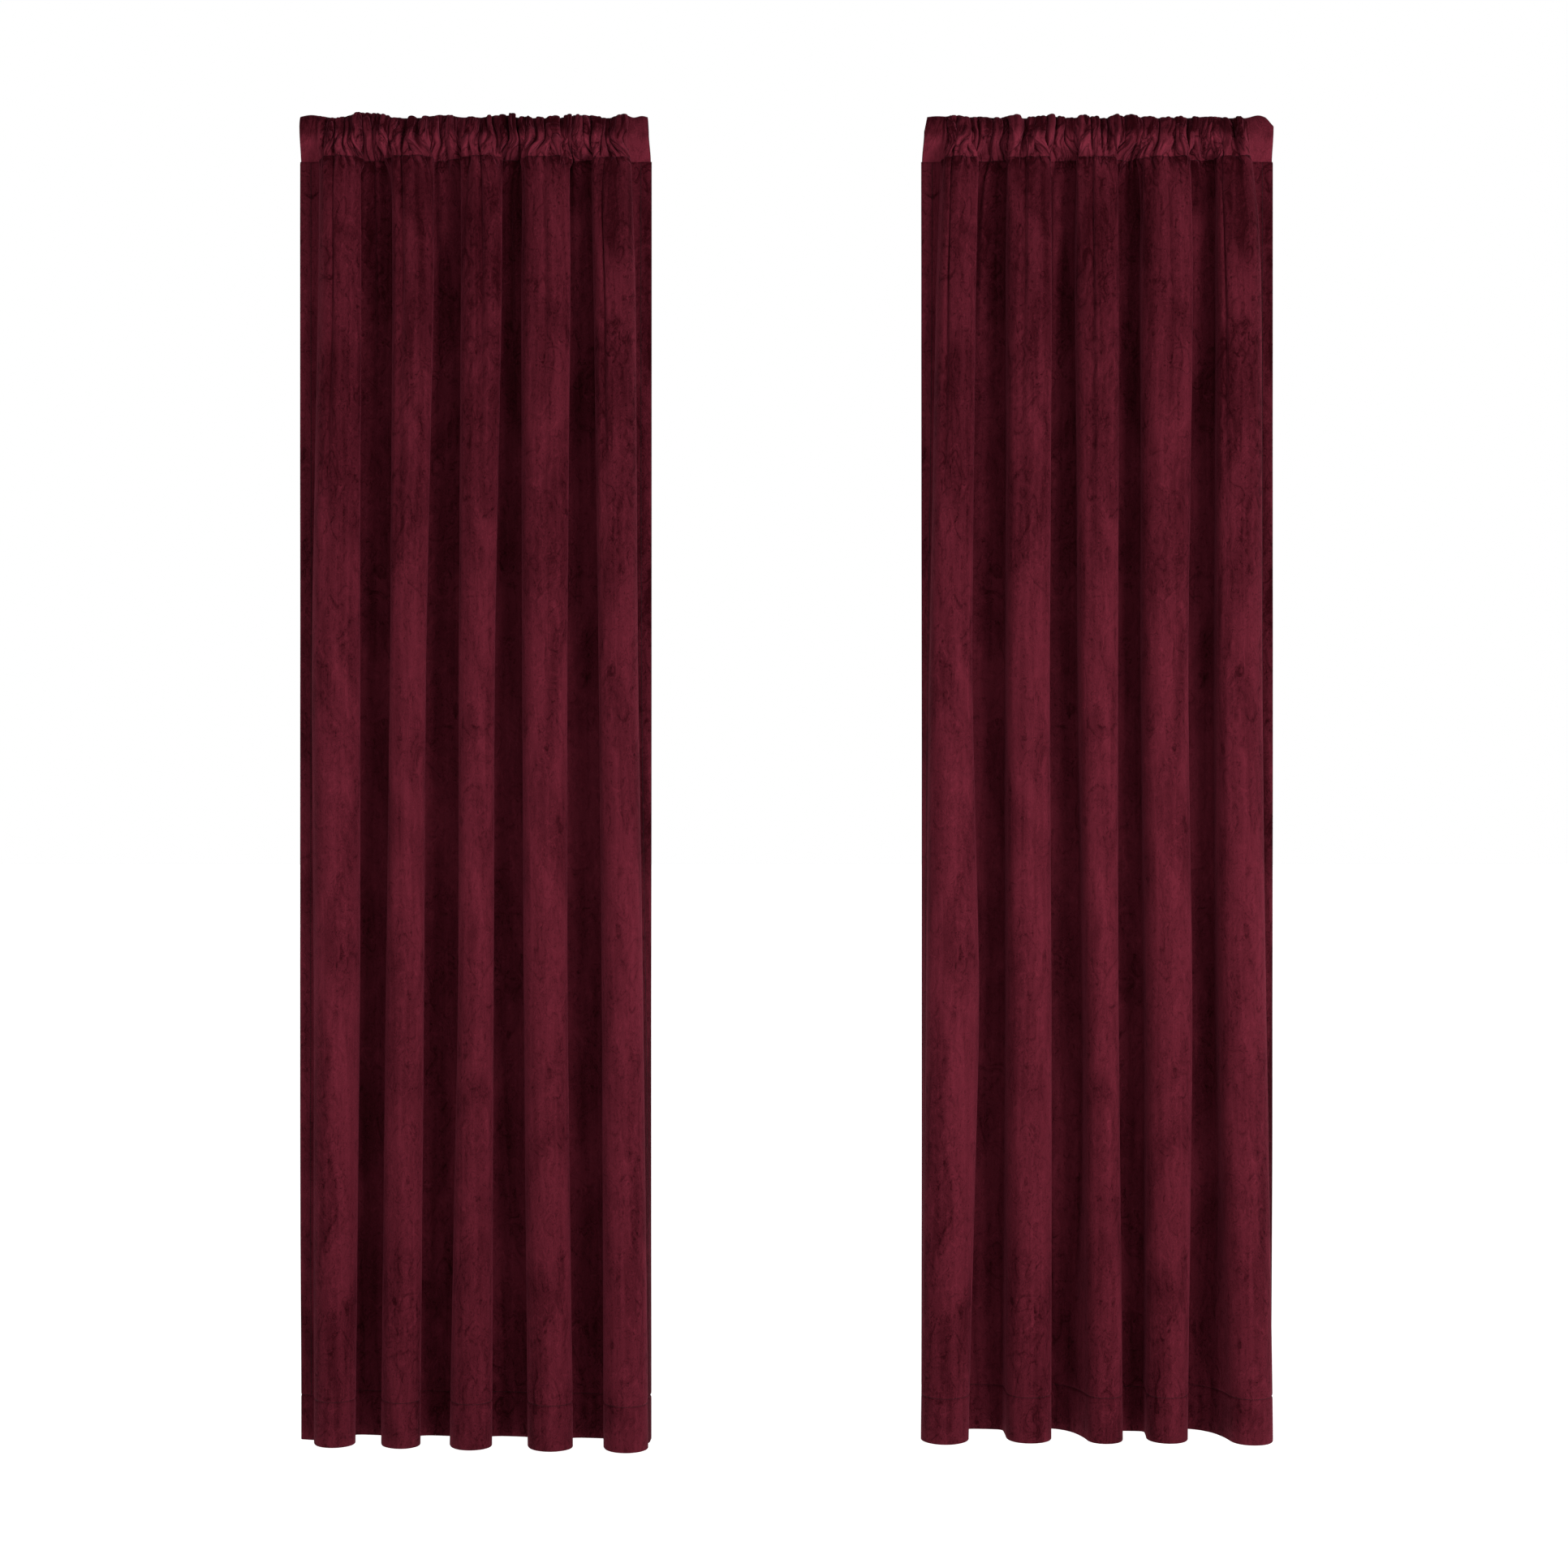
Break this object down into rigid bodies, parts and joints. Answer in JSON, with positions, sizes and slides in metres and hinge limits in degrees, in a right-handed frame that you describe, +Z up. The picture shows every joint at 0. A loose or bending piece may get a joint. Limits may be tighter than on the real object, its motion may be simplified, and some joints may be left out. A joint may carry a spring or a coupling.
{
  "type": "curtain panel pair",
  "caption": "Pair of gathered velvet rod-pocket curtain panels with soft vertical folds, turned side hems and a deep stitched bottom hem.",
  "frame": {"origin": "on the axis of the rod that the pockets take, half way between the two panels", "axes": "+X along the rod to the viewer's right, -Y towards the viewer and the room, +Z up"},
  "size_m": [1.5712, 0.1042, 2.1403],
  "materials": {
    "velvet": "soft wine-red velvet pile with a sheen at grazing angles",
    "velvet_reverse": "turned-over velvet and its duller woven back",
    "thread": "dark matching polyester thread",
    "label": "blank woven satin tape"
  },
  "bodies": {
    "left_panel": {"left_face_cloth": "velvet", "left_pocket_front": "velvet", "left_pocket_turnover": "velvet_reverse", "left_bottom_hem": "velvet_reverse", "left_outer_side_hem": "velvet_reverse", "left_inner_side_hem": "velvet_reverse", "left_pocket_stitch": "thread", "left_hem_stitch": "thread", "left_outer_side_stitch": "thread", "left_inner_side_stitch": "thread", "left_care_label": "label"},
    "right_panel": {"right_face_cloth": "velvet", "right_pocket_front": "velvet", "right_pocket_turnover": "velvet_reverse", "right_bottom_hem": "velvet_reverse", "right_outer_side_hem": "velvet_reverse", "right_inner_side_hem": "velvet_reverse", "right_pocket_stitch": "thread", "right_hem_stitch": "thread", "right_outer_side_stitch": "thread", "right_inner_side_stitch": "thread", "right_care_label": "label"}
  },
  "joints": [
    {"name": "right_panel_slide", "type": "slide", "parent": "left_panel", "child": "right_panel", "axis": [1, 0, 0], "range_m": [-0.42, 0.28]}
  ]
}
